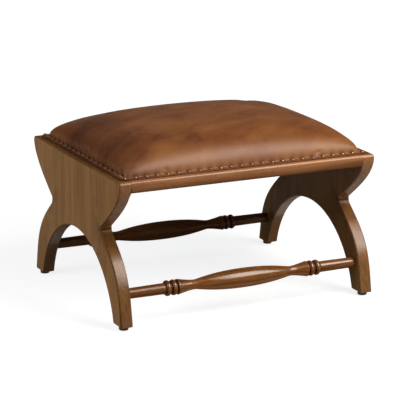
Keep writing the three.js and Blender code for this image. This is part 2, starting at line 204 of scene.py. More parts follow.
def mirrored_copy(piece, name, flip):
    """Copies a piece to the other side; flip is -1 in the direction that is mirrored."""
    copy = copy_of(piece)
    copy.name = name
    open_for_editing(copy, "VERT")
    bpy.ops.transform.resize(value=flip, center_override=(0, 0, 0))
    face_outward()
    close_editing()
    return copy


def panel_stations():
    """The outline of the left panel, as (y, z) stations from its top round to its arch."""
    waist, foot, toe = 0.141, 0.25, 0.206
    corner, bend = 0.0075, 0.00414
    crown_bend = 0.0972
    side = [
        ((rail_outer - corner, frame_top), None, (rail_outer - corner + bend, frame_top)),
        ((rail_outer, frame_top - corner), (rail_outer, frame_top - corner + bend),
         (rail_outer, 0.2795)),
        ((waist, 0.2045), (0.186, 0.237), None),
        ((waist, 0.2), None, (waist, 0.1955)),
        ((0.148, 0.1881), (0.1444, 0.1909), (0.22195, 0.13088)),
        ((foot, leg_bottom), (0.2373, 0.1037), None),
        ((toe, leg_bottom), None, (0.1820, 0.1027)),
    ]
    other = [((-y, z), after and (-after[0], after[1]), before and (-before[0], before[1]))
             for (y, z), before, after in reversed(side)]
    return side + [((0, 0.1685), (crown_bend, 0.1685), (-crown_bend, 0.1685))] + other


left_panel = draw_line(
    "left_panel_board",
    [tuple(point and (-panel_outer, *point) for point in station) for station in panel_stations()],
    resolution=24, closed=True)
open_for_editing(left_panel)
bpy.ops.mesh.remove_doubles(threshold=weld)
select_mesh()
bpy.ops.mesh.edge_face_add()
bpy.ops.mesh.extrude_region_move(
    TRANSFORM_OT_translate={"value": (panel_outer - panel_inner, 0, 0)})
face_outward()

# The feet have eased toes, the faces a rounded edge.
round_edges(left_panel, toe_round, 3, lambda a, b: (
    abs(a.x - b.x) > 0.02 and a.z < leg_bottom + near))
round_edges(left_panel, panel_round, 5, lambda a, b: (
    abs(a.x + panel_outer) < near and abs(b.x + panel_outer) < near))
round_edges(left_panel, panel_round, 5, lambda a, b: (
    abs(a.x + panel_inner) < near and abs(b.x + panel_inner) < near
    and max(a.z, b.z) < rail_bottom - 0.002))

# Cuts through the board give the marks of painted shade, gloss and painted light points to lie on.
cuts = [((0, 0, height), (0, 0, 1)) for height in (0.06, 0.115, 0.1686, 0.199, 0.25)]
cuts += [((0, depth, 0), (0, 1, 0))
         for depth in (-top_shade_end, -0.2, -0.1, 0, 0.1, 0.2, top_shade_end)]
for point, across in cuts:
    select_mesh()
    bpy.ops.mesh.bisect(plane_co=point, plane_no=across)
close_editing()

# A drill bit is given by its diameter, its length and its middle.
bits = []
for side in (-1, 1):
    for y in dowel_ys:
        bits.append(drill_bit(dowel_hole, 0.0223, (-0.287, side * y, dowel_z)))
    bits.append(drill_bit(tenon_hole, 0.0203, (-0.2852, side * stretcher_y, stretcher_z)))
    bits.append(drill_bit(screw_hole, 0.0203, (-0.2852, side * 0.181, screw_z)))
    bits.append(drill_bit(
        glide_nail_hole, 0.0183, (-glide_x, side * glide_y, 0.0156), along=(0, 0, 1)))
cut_holes(left_panel, bits)
right_panel = mirrored_copy(left_panel, "right_panel_board", (-1, 1, 1))


def add_node(tree, kind, inputs=None, **settings):
    """Adds a node with its settings, and feeds each named input a value or another output."""
    made = tree.nodes.new(kind)
    for name, value in settings.items():
        setattr(made, name, value)
    for socket, value in (inputs or {}).items():
        if isinstance(value, bpy.types.NodeSocket):
            tree.links.new(value, made.inputs[socket])
        else:
            made.inputs[socket].default_value = value
    return made


def feed(node, **values):
    """Feeds inputs of a node, named with _ for a space, from outputs of other nodes."""
    for socket, value in values.items():
        node.id_data.links.new(value, node.inputs[socket.replace("_", " ")])


def stain(red, green, blue):
    """A colour as it looks on a screen, from 0 to 255, in Blender's linear terms."""
    linear = []
    for part in (red, green, blue):
        share = part / 255
        linear.append(share / 12.92 if share <= 0.04045 else ((share + 0.055) / 1.055) ** 2.4)
    return (*linear, 1)


def spread(tree, value, low, high, out_low=0, out_high=1):
    return add_node(
        tree, "ShaderNodeMapRange",
        {"Value": value, "From Min": low, "From Max": high, "To Min": out_low, "To Max": out_high},
        interpolation_type="SMOOTHSTEP").outputs["Result"]


def reckon(tree, operation, first, second=0.5, third=0.5):
    return add_node(
        tree, "ShaderNodeMath", {0: first, 1: second, 2: third},
        operation=operation).outputs["Value"]


def times(tree, first, second):
    return reckon(tree, "MULTIPLY", first, second)


def reckon_vector(tree, operation, first, second=(0, 0, 0), result="Vector"):
    return add_node(
        tree, "ShaderNodeVectorMath", {0: first, 1: second}, operation=operation).outputs[result]


def blend_colours(tree, share, first, second, kind="MIX"):
    return add_node(
        tree, "ShaderNodeMix", {0: share, 6: first, 7: second},
        data_type="RGBA", blend_type=kind).outputs[2]


def colour_steps(tree, value, *steps):
    """Colours by value; each step is a place from 0 to 1 and a screen colour."""
    ramp = add_node(tree, "ShaderNodeValToRGB", {"Fac": value})
    marks = ramp.color_ramp.elements
    while len(marks) < len(steps):
        marks.new(0.5)
    for mark, (place, colour) in zip(marks, steps):
        mark.position = place
        mark.color = stain(*colour)
    return ramp.outputs["Color"]


def object_place(tree):
    return add_node(tree, "ShaderNodeTexCoord").outputs["Object"]


def mottle(tree, place, scale, detail, **more):
    """A noise texture, from 0 to 1; more sets its other inputs."""
    return add_node(tree, "ShaderNodeTexNoise", {
        "Vector": place, "Scale": scale, "Detail": detail, **more}).outputs["Fac"]


def relief(tree, height, strength, distance):
    """The slopes of a fine relief."""
    return add_node(tree, "ShaderNodeBump", {
        "Height": height, "Strength": strength, "Distance": distance}).outputs["Normal"]


def read_mark(tree, name):
    """The value that mark_points gave the points of a piece."""
    return add_node(tree, "ShaderNodeAttribute", attribute_name=name).outputs["Fac"]


def new_finish(name, **plain):
    """A material with its shader; plain values are set on the shader's own sockets."""
    finish = bpy.data.materials.new(name)
    finish.use_nodes = True
    shader = finish.node_tree.nodes["Principled BSDF"]
    for socket, value in plain.items():
        shader.inputs[socket.replace("_", " ")].default_value = value
    return finish, finish.node_tree, shader


def make_wood_grain():
    """Grain that runs along Z: wide bands of colour, fine lines, and short open pores."""
    group = bpy.data.node_groups.new("wood_grain", "ShaderNodeTree")
    sockets = group.interface
    sockets.new_socket("Vector", in_out="INPUT", socket_type="NodeSocketVector")
    for name in ("Tone", "Pore", "Height"):
        sockets.new_socket(name, in_out="OUTPUT", socket_type="NodeSocketFloat")
    place = group.nodes.new("NodeGroupInput").outputs["Vector"]
    wander = reckon_vector(group, "MULTIPLY", place, (3, 3, 1.6))
    wander = add_node(group, "ShaderNodeTexNoise", {
        "Vector": wander, "Scale": 1, "Detail": 2}).outputs["Color"]
    wander = reckon_vector(group, "SUBTRACT", wander, (0.5, 0.5, 0.5))
    wander = reckon_vector(group, "MULTIPLY", wander, (0.05, 0.05, 0))
    bent = reckon_vector(group, "ADD", place, wander)
    drawn_out = reckon_vector(group, "MULTIPLY", bent, (1, 1, 0.035))
    bands = spread(group, mottle(group, drawn_out, 40, 3), 0.28, 0.72)
    lines = spread(group, mottle(group, drawn_out, 260, 4, Roughness=0.65), 0.3, 0.7)
    short = reckon_vector(group, "MULTIPLY", bent, (1, 1, 0.08))
    pores = spread(group, mottle(group, short, 1100, 1), 0.6, 0.7)
    tone = reckon(group, "MULTIPLY_ADD", lines, 0.5, times(group, bands, 0.5))
    height = reckon(group, "SUBTRACT", times(group, lines, 0.45), pores)
    feed(group.nodes.new("NodeGroupOutput"), Tone=tone, Pore=pores, Height=height)
    return group


wood_grain = make_wood_grain()


def turned_place(tree, turn, shift=(0, 0, 0)):
    """A place in a piece, turned so that the grain's Z runs along it."""
    return add_node(tree, "ShaderNodeMapping", {
        "Vector": object_place(tree), "Location": shift, "Rotation": turn}).outputs["Vector"]


def grain_at(tree, place):
    return add_node(tree, "ShaderNodeGroup", {"Vector": place}, node_tree=wood_grain).outputs


def square_on(tree, slant=0.6):
    """1 on what faces the eye, and 0 on what is seen at a slant."""
    turned_away = add_node(tree, "ShaderNodeLayerWeight", {"Blend": 0.5}).outputs["Facing"]
    return spread(tree, turned_away, slant - 0.45, slant, 1, 0)


def walnut_finish(name, turn, shift, dark, middle, light, gloss, slant=0.6, shade_depth=0.6,
                  coat_ior=1.5, coat_roughness=0.26):
    """Stained walnut under a satin lacquer; turn lays the grain along the piece. Where its gloss
    and painted light mark is 0.5 the lacquer is polished, and where it is 1 the stain is also
    painted paler as a painted highlight. Its painted shade mark blends the stain dark and takes
    the gloss off, and the lacquer dried dull where "dry" is 1."""
    finish, tree, shader = new_finish(
        name, IOR=1.5, Specular_IOR_Level=0.02, Coat_IOR=coat_ior, Coat_Roughness=coat_roughness)
    gloss_and_painted_light = read_mark(tree, "gloss_and_painted_light")
    painted_shade = read_mark(tree, "painted_shade")
    polish = times(
        tree, spread(tree, gloss_and_painted_light, 0, 0.5, gloss, 1), spread(tree, painted_shade, 0, 0.5, 1, 0.1))
    polish = times(tree, polish, reckon(tree, "SUBTRACT", 1, read_mark(tree, "dry")))
    place = turned_place(tree, turn, shift)
    grain = grain_at(tree, place)
    wiped = spread(tree, mottle(tree, place, 5, 2), 0.3, 0.7, -0.12, 0.12)
    colour = colour_steps(
        tree, reckon(tree, "ADD", wiped, grain["Tone"]), (0.08, dark), (0.5, middle), (0.95, light))
    pores = times(tree, grain["Pore"], 0.35)
    colour = blend_colours(tree, pores, colour, stain(*dark), "MULTIPLY")
    # Painted highlight: above 0.5 on the gloss and painted light mark, the stain is painted paler.
    painted_light_share = spread(tree, gloss_and_painted_light, 0.5, 1, 0, 0.5)
    colour = blend_colours(tree, painted_light_share, colour, stain(206, 150, 110))
    # Painted shade: the painted shade mark blends the stain towards a dark brown.
    colour = blend_colours(tree, times(tree, painted_shade, shade_depth), colour, stain(56, 28, 12))
    feed(
        shader, Base_Color=colour,
        Roughness=spread(tree, grain["Tone"], 0, 1, 0.42, 0.3),
        Coat_Weight=times(tree, polish, square_on(tree, slant)),
        Normal=relief(tree, grain["Height"], 0.12, 0.0004))
    return finish


def dress(piece, *finishes):
    """Gives a piece its finishes, in place of those that it had."""
    piece.data.materials.clear()
    for finish in finishes:
        piece.data.materials.append(finish)


def mark_points(piece, name, share):
    """Gives each point of a piece a value from 0 to 1, which a finish reads by its name."""
    marks = piece.data.attributes.new(name, "FLOAT", "POINT")
    for vertex, mark in zip(piece.data.vertices, marks.data):
        mark.value = share(*vertex.co)


def climb(value, start, reach):
    """0 up to the start, and then rising to 1 over the reach."""
    return min(1, max(0, (value - start) / reach))


def painted_shade_on_panels(x, y, z):
    """Painted shade on the top edge beside the leather, where the crown shades it, in the hollow
    of the waist, on the back feet, inside the right front foot, and on the end grain just below
    the waist, under the overhang; the outer arris is darker as well."""
    outer_arris = panel_outer - panel_round + near < abs(x) < panel_outer - near / 10
    waist_hollow = 0.13 < abs(y) < 0.147 and 0.188 < z < 0.202
    back_foot = y > 0.17 and z < 0.13
    inside_right_front_foot = y < -0.17 and z < 0.14 and 0 < x < panel_inner + near
    below_waist = abs(y) > 0.13 and z < 0.19
    if outer_arris:
        return 0.5
    if z > frame_top - near:
        return (0.4 if x < 0 else 0.7) if abs(y) < top_shade_end + near else 0.0
    if waist_hollow:
        return 0.9 if z > 0.1965 else 0.35
    if back_foot or inside_right_front_foot:
        return 0.3
    return 0.6 * climb(z, 0.15, 0.02) if below_waist else 0.0


def gloss_and_painted_light_by_place(x, y, z):
    """Gloss on the round along the top front edge, which is also painted paler there as a painted
    highlight that brightens towards the right, and gloss on the foot's curve, painted a little
    paler on the right foot as a painted highlight.
    """
    if abs(y) > rail_outer - rail_round + near and z > frame_top - rail_round + near:
        return min(1, 0.8 + 0.8 * x)
    if abs(y) < 0.13 or z > 0.21:
        return 0.0
    painted_light_share = 0.1 if abs(x) < panel_inner + near else 0.65 if x > 0 else 0.4
    return painted_light_share * climb(z, 0.045, 0.04)


panel_face_finish = walnut_finish(
    "walnut_panel_face", upright, (0.3, 0.1, 0),
    (126, 88, 50), (142, 102, 58), (155, 113, 67), gloss=0.3)
panel_edge_finish = walnut_finish(
    "walnut_panel_edge", upright, (1.3, 0.7, 0),
    (103, 67, 33), (127, 87, 45), (143, 101, 57), gloss=0.6, slant=0.9)
# Painted light: the upper edges, which turn down away from the key lamp, take a paler copy of the
# edge stain in place of the light that the floor throws onto them.
panel_upper_painted_light_finish = walnut_finish(
    "walnut_panel_upper_edge_painted_light", upright, (1.3, 0.7, 0),
    (122, 80, 42), (150, 102, 58), (168, 118, 70), gloss=0.6, slant=0.9)
for panel, node in ((left_panel, "left_end_panel"), (right_panel, "right_end_panel")):
    smooth_piece(panel)
    dress(panel, panel_face_finish, panel_edge_finish, panel_upper_painted_light_finish)
    for face in panel.data.polygons:
        upper = 0.2 < face.center.z < frame_top - near and abs(face.center.y) > 0.142
        face.material_index = 0 if abs(face.normal.x) > 0.999 else 2 if upper else 1
    mark_points(panel, "painted_shade", painted_shade_on_panels)
    mark_points(panel, "gloss_and_painted_light", gloss_and_painted_light_by_place)
    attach(panel, "root")
    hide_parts(node)


# Rails. Two solid bars between the panels, flush with their top and with their edges; the top
# outer edge is rounded over like a thumb's tip, glossy and painted paler as a painted highlight;
# the lower one is only eased, and darkened with painted shade.
front_rail_y = (rail_outer + rail_inner) / 2
rail_lower_round = 0.0035
rail_inner_round = 0.0008
fit_gap = 0.0003


def square_bar(name, middle, size):
    bpy.ops.mesh.primitive_cube_add(size=1, location=middle)
    bar = bpy.context.object
    bar.name = name
    bar.scale = size
    bpy.ops.object.transform_apply()
    return bar


def long_edge(y, z):
    return lambda a, b: abs(a.x - b.x) > 0.1 and abs(a.y - y) < near and abs(a.z - z) < near


front_rail = square_bar(
    "front_rail_bar", (0, -front_rail_y, (frame_top + rail_bottom) / 2),
    (2 * (panel_inner - fit_gap), rail_outer - rail_inner, frame_top - rail_bottom))
open_for_editing(front_rail)
round_edges(front_rail, rail_round, 10, long_edge(-rail_outer, frame_top))
round_edges(front_rail, rail_lower_round, 5, long_edge(-rail_outer, rail_bottom))
round_edges(front_rail, rail_inner_round, 2, long_edge(-rail_inner, rail_bottom))
close_editing()
bits = []
for end in (-1, 1):
    for y in dowel_ys:
        bits.append(drill_bit(dowel_hole, 0.0243, (end * 0.2667, -y, dowel_z)))
    bits.append(drill_bit(screw_hole, 0.0203, (end * 0.237, -0.2292, screw_z), along=(0, 1, 0)))
cut_holes(front_rail, bits)
back_rail = mirrored_copy(front_rail, "back_rail_bar", (1, -1, 1))

rail_finish = walnut_finish(
    "walnut_rail", lengthwise, (0.9, 0.2, 0),
    (130, 85, 50), (159, 107, 68), (177, 123, 81), gloss=0.5)
for rail, node in ((front_rail, "front_rail"), (back_rail, "back_rail")):
    smooth_piece(rail)
    mark_points(rail, "gloss_and_painted_light", gloss_and_painted_light_by_place)
    # Painted shade along the eased lower edge, which turns down out of the light.
    mark_points(
        rail, "painted_shade", lambda x, y, z: float(z < rail_bottom + rail_lower_round + 2 * near))
    dress(rail, rail_finish)
    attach(rail, "root")
    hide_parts(node)


# Dowels, corner blocks and cleats. Pale, planed hardwood with no stain on it, because the
# leather and the dust cover hide it; the dowels are glued, the blocks glued and screwed.
corners = ("front_left", "front_right", "back_left", "back_right")


def finish_node(name, finish):
    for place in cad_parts[name].material_slots:
        place.material = finish


hardwood_finish, tree, shader = new_finish("hardwood_lengthwise", IOR=1.45)
grain = grain_at(tree, turned_place(tree, lengthwise, (0.4, 0, 0)))
feed(
    shader,
    Base_Color=colour_steps(tree, grain["Tone"], (0.1, (182, 140, 96)), (0.9, (211, 172, 126))),
    Roughness=spread(tree, grain["Pore"], 0, 1, 0.62, 0.77),
    Normal=relief(tree, grain["Height"], 0.2, 0.0004))
for corner in corners:
    for part in ("inner_dowel", "outer_dowel", "corner_block"):
        finish_node(f"{corner}_{part}", hardwood_finish)
for part in ("front_cleat", "back_cleat"):
    finish_node(part, hardwood_finish)


# Stretchers. Each is one length of hardwood turned between centres: a long swell in the middle,
# a flared lip and two beads on each side of it, and a plain shank with a tenon in the foot.
lip_start = 0.156
shank_start = 0.1885
bead_foot = 0.0132
bead_width = 0.0104
bead_rise = 0.00405


def turning(distance, radius):
    return (distance, -stretcher_y, stretcher_z + radius)


def bead_stations(start):
    """A half-round bead between two grooves, for the turning's profile."""
    bend = 0.5523
    middle, crest, end = start + bead_width / 2, bead_foot + bead_rise, start + bead_width
    side_bend, crest_bend = bead_foot + bend * bead_rise, bend * bead_width / 2
    return [
        (turning(start, bead_foot), None, turning(start, side_bend)),
        (turning(middle, crest), turning(middle - crest_bend, crest),
         turning(middle + crest_bend, crest)),
        (turning(end, bead_foot), turning(end, side_bend), None),
    ]


def spin_solid(line, steps, middle, axis):
    """Spins a line round an axis to a closed solid."""
    open_for_editing(line, "VERT")
    bpy.ops.mesh.spin(steps=steps, angle=2 * math.pi, center=middle, axis=axis)
    select_mesh()
    bpy.ops.mesh.remove_doubles(threshold=weld)
    face_outward()
    close_editing()


profile = [
    (turning(0, 0.0215), None, turning(0.0749, 0.0215)),
    (turning(0.117, 0.01065), turning(0.1071, 0.01065), turning(0.12675, 0.01065)),
    (turning(lip_start, 0.01695), turning(0.14625, 0.0147), turning(0.1569, 0.01718)),
    (turning(0.1583, 0.0160), turning(0.1583, 0.0172), None),
    (turning(0.1587, 0.0132), None, None),
]
profile += bead_stations(0.1618)
profile += bead_stations(0.1763)
profile += [(turning(distance, radius), None, None) for distance, radius in (
    (0.1898, 0.01225), (0.2762, 0.0115), (0.2767, 0.011), (0.2767, 0.0095),
    (0.294, 0.0095), (0.295, 0.0085), (0.295, 0))]
front_stretcher = draw_line("front_stretcher_turning", profile, resolution=14, closed=False)
spin_solid(front_stretcher, 56, (0, -stretcher_y, stretcher_z), (1, 0, 0))
apply_modifier(front_stretcher, "MIRROR", merge_threshold=0.00005)
open_for_editing(front_stretcher, "VERT")
face_outward()
close_editing()
back_stretcher = mirrored_copy(front_stretcher, "back_stretcher_turning", (1, -1, 1))

turned_finish = walnut_finish(
    "walnut_turned", lengthwise, (0.2, 0.5, 0),
    (104, 62, 30), (136, 85, 41), (156, 103, 54), gloss=0.65, slant=0.75,
    shade_depth=1.0, coat_ior=1.8, coat_roughness=0.17)


def around_turning(y, z):
    """How far a point is from its stretcher's middle line, and its slope: 1 on top, -1 below."""
    radius = math.hypot(abs(y) - stretcher_y, z - stretcher_z)
    return radius, (z - stretcher_z) / max(radius, near)


def painted_shade_on_turning(x, y, z):
    """Painted shade in the grooves beside the lips and beads, along the top, which the seat shades,
    and all over the back stretcher, in the seat's shade; the shanks are made darker too, the left
    one more."""
    radius, slope = around_turning(y, z)
    if 0.1575 < abs(x) < shank_start and radius < 0.015:
        return 0.85
    if y > 0:
        return 0.4
    shank = 0.25 if x < -shank_start else 0.12 if x > shank_start else 0
    return max(shank, 0.1 if slope > 0.8 else 0)


def gloss_and_painted_light_on_turning(x, y, z):
    """Gloss on the crowns of the beads, barely painted paler, and on the right shank; and on the
    front stretcher's underside a paler stain, painted light standing in for the light that the
    white floor throws up onto it."""
    radius, slope = around_turning(y, z)
    if y < 0 and slope < 0:
        return (0.88 if abs(x) < lip_start else 0.68) * climb(-slope, 0, 0.35)
    if y < 0 and x > shank_start:
        return 0.5
    return 0.55 if lip_start < abs(x) < shank_start and radius > 0.0158 else 0.0


def dried_dull(x, y, z):
    """Where the front stretcher's lacquer dried dull: on its underside, towards the left end
    of its swell and on its right flare."""
    slope = around_turning(y, z)[1]
    under = climb(-slope, -0.3, 0.25)
    swell_end = min(0.75, climb(-x, 0.03, 0.08)) if x > -0.125 else 0
    flare = 0.8 if 0.128 < x < 0.158 else 0
    return max(under, swell_end, flare) if y < 0 else 0.0


for stretcher, node in ((front_stretcher, "front_stretcher"), (back_stretcher, "back_stretcher")):
    smooth_piece(stretcher, 40)
    mark_points(stretcher, "painted_shade", painted_shade_on_turning)
    mark_points(stretcher, "gloss_and_painted_light", gloss_and_painted_light_on_turning)
    mark_points(stretcher, "dry", dried_dull)
    dress(stretcher, turned_finish)
    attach(stretcher, "root")
    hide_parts(node)


# Glides. A dark moulded foot under each leg, with an eased rim and a steel nail moulded in,
# which is hammered up into the end of the leg.
glide_profile = (
    (0, 0), (0.0082, 0), (0.0097, 0.0005), (0.0105, 0.0018), (0.0105, 0.0064), (0.0099, 0.0077),
    (0.0088, 0.0082), (0.0015, 0.0082), (0.0015, 0.0235), (0, 0.0245))
front_left_glide = draw_line(
    "front_left_glide_foot",
    [((-glide_x + radius, -glide_y, height), None, None) for radius, height in glide_profile],
    resolution=1, closed=False)
spin_solid(front_left_glide, 36, (-glide_x, -glide_y, 0), (0, 0, 1))

glide_finish, tree, shader = new_finish("glide_plastic", IOR=1.46)
place = object_place(tree)
scuffs = mottle(tree, place, 120, 3)
feed(
    shader,
    Base_Color=colour_steps(tree, scuffs, (0.35, (24, 17, 13)), (0.75, (48, 36, 28))),
    Roughness=spread(tree, scuffs, 0.3, 0.7, 0.42, 0.62),
    Normal=relief(tree, mottle(tree, place, 900, 2), 0.25, 0.0002))

for corner, flip in zip(corners, ((1, 1, 1), (-1, 1, 1), (1, -1, 1), (-1, -1, 1))):
    glide = front_left_glide
    if corner != "front_left":
        glide = mirrored_copy(front_left_glide, f"{corner}_glide_foot", flip)
    smooth_piece(glide, 40)
    dress(glide, glide_finish)
    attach(glide, "root")
    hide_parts(f"{corner}_glide")


# Screws. Zinc-plated pan heads: two hold each corner block to the rail and the panel, and one
# goes up through the block into the deck.
screw_finish, tree, shader = new_finish("zinc_plate", Metallic=0.95)
tarnish = mottle(tree, object_place(tree), 260, 3)
feed(
    shader,
    Base_Color=colour_steps(tree, tarnish, (0.3, (150, 146, 132)), (0.7, (196, 194, 188))),
    Roughness=spread(tree, tarnish, 0.3, 0.7, 0.5, 0.28))
for corner in corners:
    for part in ("rail_screw", "panel_screw", "deck_screw"):
        finish_node(f"{corner}_{part}", screw_finish)


# Seat deck. A 9 mm plywood panel let in between the rails and the panels; its faces run along
# the seat and its edges show the plies.
deck_bottom = 0.316
ply_thickness = 0.0018


def axes(tree, place):
    return add_node(tree, "ShaderNodeSeparateXYZ", {"Vector": place}).outputs


deck_finish, tree, shader = new_finish("plywood", IOR=1.45)
grain = grain_at(tree, turned_place(tree, lengthwise))
height = axes(tree, object_place(tree))["Z"]
ply = reckon(tree, "PINGPONG", reckon(tree, "SUBTRACT", height, deck_bottom), ply_thickness)
ply = spread(tree, ply, ply_thickness / 3, 2 * ply_thickness / 3)
pale = colour_steps(tree, grain["Tone"], (0.1, (186, 148, 104)), (0.9, (217, 184, 140)))
feed(
    shader,
    Base_Color=blend_colours(tree, times(tree, ply, 0.3), pale, stain(150, 108, 70)),
    Roughness=spread(tree, ply, 0, 1, 0.66, 0.78),
    Normal=relief(tree, grain["Height"], 0.2, 0.0004))
finish_node("seat_deck", deck_finish)


# Foam pad. A block of upholstery foam, shaved to a crown and laid on the deck; the leather
# follows it, so both take their shape from the same crown.
seat_bottom = 0.3253
crown_foot = 0.3285
crown_height = 0.0703
seat_half_length = 0.277
seat_half_depth = 0.221
foam_rings = 36
foam_set_in = 0.0034


def crown_share(along, across):
    """How high the crown stands, from 0 at its rim to 1 in its middle."""
    lengthwise_share = 1 - min(1, abs(along)) ** 2.15
    depthwise_share = 1 - min(1, abs(across)) ** 2.97
    return lengthwise_share ** 0.254 * depthwise_share ** 0.346


def rounding(along, across, power):
    """Draws the corners of a ring in, so that they are rounded."""
    return (abs(along) ** power + abs(across) ** power) ** (-1 / power)


def even_shares(count, steps=4000):
    """Shares of the seat's half size that are evenly far apart over the crown's surface."""
    fine = [1 - (1 - step / steps) ** 4 for step in range(steps + 1)]
    runs = [0.0]
    for before, after in zip(fine, fine[1:]):
        run = 0
        for half, ends in ((seat_half_length, ((before, 0), (after, 0))),
                           (seat_half_depth, ((0, before), (0, after)))):
            rise = crown_height * (crown_share(*ends[1]) - crown_share(*ends[0]))
            run += math.hypot(half * (after - before), rise)
        runs.append(runs[-1] + run)
    shares, at = [], 0
    for step in range(count + 1):
        while at < steps and runs[at] < runs[-1] * step / count:
            at += 1
        shares.append(fine[at])
    return shares


def seat_grid(name, rings, place_point):
    """A square grid whose rings of cells become rings of the seat. place_point gives the
    place of a point from its ring and its direction from the middle."""
    bpy.ops.mesh.primitive_grid_add(
        x_subdivisions=2 * rings, y_subdivisions=2 * rings, size=2 * rings, location=(0, 0, 0))
    grid = bpy.context.object
    grid.name = name
    for vertex in grid.data.vertices:
        across, deep = vertex.co.x, vertex.co.y
        ring = round(max(abs(across), abs(deep)))
        direction = (across / ring, deep / ring) if ring else (0.0, 0.0)
        vertex.co = place_point(ring, direction)
    return grid


foam_shares = even_shares(foam_rings)


def foam_point(ring, direction):
    """The foam's crown, with its rim turned straight down to the deck."""
    rise = crown_height - foam_set_in
    if not ring:
        return (0, 0, crown_foot + rise)
    along, across = foam_shares[ring] * direction[0], foam_shares[ring] * direction[1]
    shrink = rounding(*direction, 40)
    return (
        along * (seat_half_length - foam_set_in) * shrink,
        across * (seat_half_depth - foam_set_in) * shrink,
        crown_foot + rise * crown_share(along, across) if ring < foam_rings else seat_bottom)


foam_pad = seat_grid("foam_block", foam_rings, foam_point)
open_for_editing(foam_pad)
bpy.ops.mesh.region_to_loop()
bpy.ops.mesh.edge_face_add()
face_outward()
close_editing()
bpy.ops.object.shade_smooth_by_angle(angle=math.radians(50))


def cell_texture(tree, place, scale, **settings):
    return add_node(
        tree, "ShaderNodeTexVoronoi", {"Vector": place, "Scale": scale},
        **settings).outputs["Distance"]


foam_finish, tree, shader = new_finish("upholstery_foam", IOR=1.3)
place = object_place(tree)
cells = cell_texture(tree, place, 900)
yellowing = mottle(tree, place, 14, 3)
feed(
    shader,
    Base_Color=colour_steps(tree, yellowing, (0.3, (222, 208, 162)), (0.7, (240, 231, 196))),
    Roughness=spread(tree, cells, 0, 0.6, 0.98, 0.85),
    Normal=relief(tree, cells, 0.4, 0.0005))
dress(foam_pad, foam_finish)
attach(foam_pad, "root")
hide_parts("foam_pad")


# Leather cover. One hide, rubbed by hand to a mottled chestnut and waxed, drawn over the foam;
# its hem is folded under and nailed to the frame, and it puckers between the nails.
crown_rings = 45
band_rings = 5
fold_rings = 3
tuck_rings = 2
leather_rings = crown_rings + band_rings + fold_rings + tuck_rings
leather_shares = even_shares(crown_rings)
band_half_length = 0.2935
slack_height = crown_height - 0.0012
corner_rise = 0.003
nail_x = 0.2845
nail_y = 0.2285
long_spaces = 23
short_spaces = 18


def nearest_side(x, y):
    """How far a point is outside the crown's foot, and a direction towards its side."""
    along, across = abs(x) / seat_half_length, abs(y) / seat_half_depth
    outside = max(abs(x) - seat_half_length, abs(y) - seat_half_depth)
    reach = max(along, across) or 1
    return outside, (x / seat_half_length / reach, y / seat_half_depth / reach)


def nail_pull(x, y, direction):
    """1 beside a nail and 0 midway between two, for a point near one side of the seat."""
    if abs(direction[1]) >= abs(direction[0]):
        beat = (x + nail_x) / (2 * nail_x / long_spaces)
    else:
        beat = (y + nail_y) / (2 * nail_y / short_spaces)
    return (1 + math.cos(2 * math.pi * beat)) / 2


def leather_point(ring, direction):
    """The outer skin of the cover: the crown, the flat band, its folded edge and the tuck."""
    if not ring:
        return (0, 0, crown_foot + slack_height)
    if ring <= crown_rings:
        share = leather_shares[ring]
        shrink = rounding(*direction, 60)
        along, across = share * direction[0], share * direction[1]
        lift = slack_height * crown_share(along, across)
        lift += corner_rise * max(0, along) ** 20 * across ** 8
        return (
            along * seat_half_length * shrink,
            across * seat_half_depth * shrink,
            crown_foot + (lift if ring < crown_rings else 0))
    fold = (crown_foot - seat_bottom) / 2
    beyond = ring - crown_rings
    width = band_half_length - seat_half_length - fold
    if beyond <= band_rings:
        out, height = width * beyond / band_rings, crown_foot
    elif beyond <= band_rings + fold_rings:
        turn = math.pi * (beyond - band_rings) / fold_rings
        out = width + fold * math.sin(turn)
        height = crown_foot - fold * (1 - math.cos(turn))
    else:
        out = width * (1 - 0.8 * (beyond - band_rings - fold_rings) / tuck_rings)
        height = seat_bottom
    shrink = rounding(*direction, 40 + 20 * min(1, beyond / band_rings))
    return (
        direction[0] * (seat_half_length + out) * shrink,
        direction[1] * (seat_half_depth + out) * shrink,
        height)


def held_share(x, y, z):
    """How firmly a point of the hide is held: 1 from the nails out, less between two nails."""
    outside, direction = nearest_side(x, y)
    pull = nail_pull(x, y, direction)
    if outside > 0.0095 or z < crown_foot - 0.0004:
        return 1.0
    if outside > 0.001:
        return 0.45 + 0.5 * pull ** 2
    rise = max(0, z - crown_foot)
    return (0.1 + 0.5 * pull ** 2) * max(0, 1 - rise / 0.008)


def swell(piece, held, pressure, furthest):
    """Fills a piece like a padded cover, while it is held by share. The filling stops each
    point from sinking in, and no point goes too far."""
    starts = [(vertex.co.copy(), vertex.normal.copy()) for vertex in piece.data.vertices]
    group = piece.vertex_groups.new(name="held")
    for vertex in piece.data.vertices:
        share = held(*vertex.co)
        if share > 0:
            group.add([vertex.index], share, "REPLACE")
    select_only(piece)
    bpy.ops.object.modifier_add(type="CLOTH")
    cloth = piece.modifiers[-1]
    cloth.settings.vertex_group_mass = "held"
    cloth.settings.use_pressure = True
    cloth.settings.uniform_pressure_force = pressure
    cloth.settings.effector_weights.gravity = 0
    cloth.settings.quality = 4
    cloth.collision_settings.use_collision = False
    for step in range(1, 21):
        bpy.context.scene.frame_set(step)
    bpy.ops.object.modifier_apply(modifier=cloth.name)
    for vertex, (start, outward) in zip(piece.data.vertices, starts):
        move = vertex.co - start
        move -= min(0, move.dot(outward)) * outward
        if move.length > 0.00001:
            vertex.co = start + move * (furthest * math.tanh(move.length / furthest) / move.length)
    bpy.context.scene.frame_set(1)
    piece.vertex_groups.clear()


def bell(value, middle, width):
    """1 in the middle, fading out on both sides."""
    return math.exp(-((value - middle) / width) ** 2)


leather = seat_grid("leather_seat", leather_rings, leather_point)
swell(leather, held_share, pressure=4, furthest=0.0022)
apply_modifier(leather, "SUBSURF", levels=1)
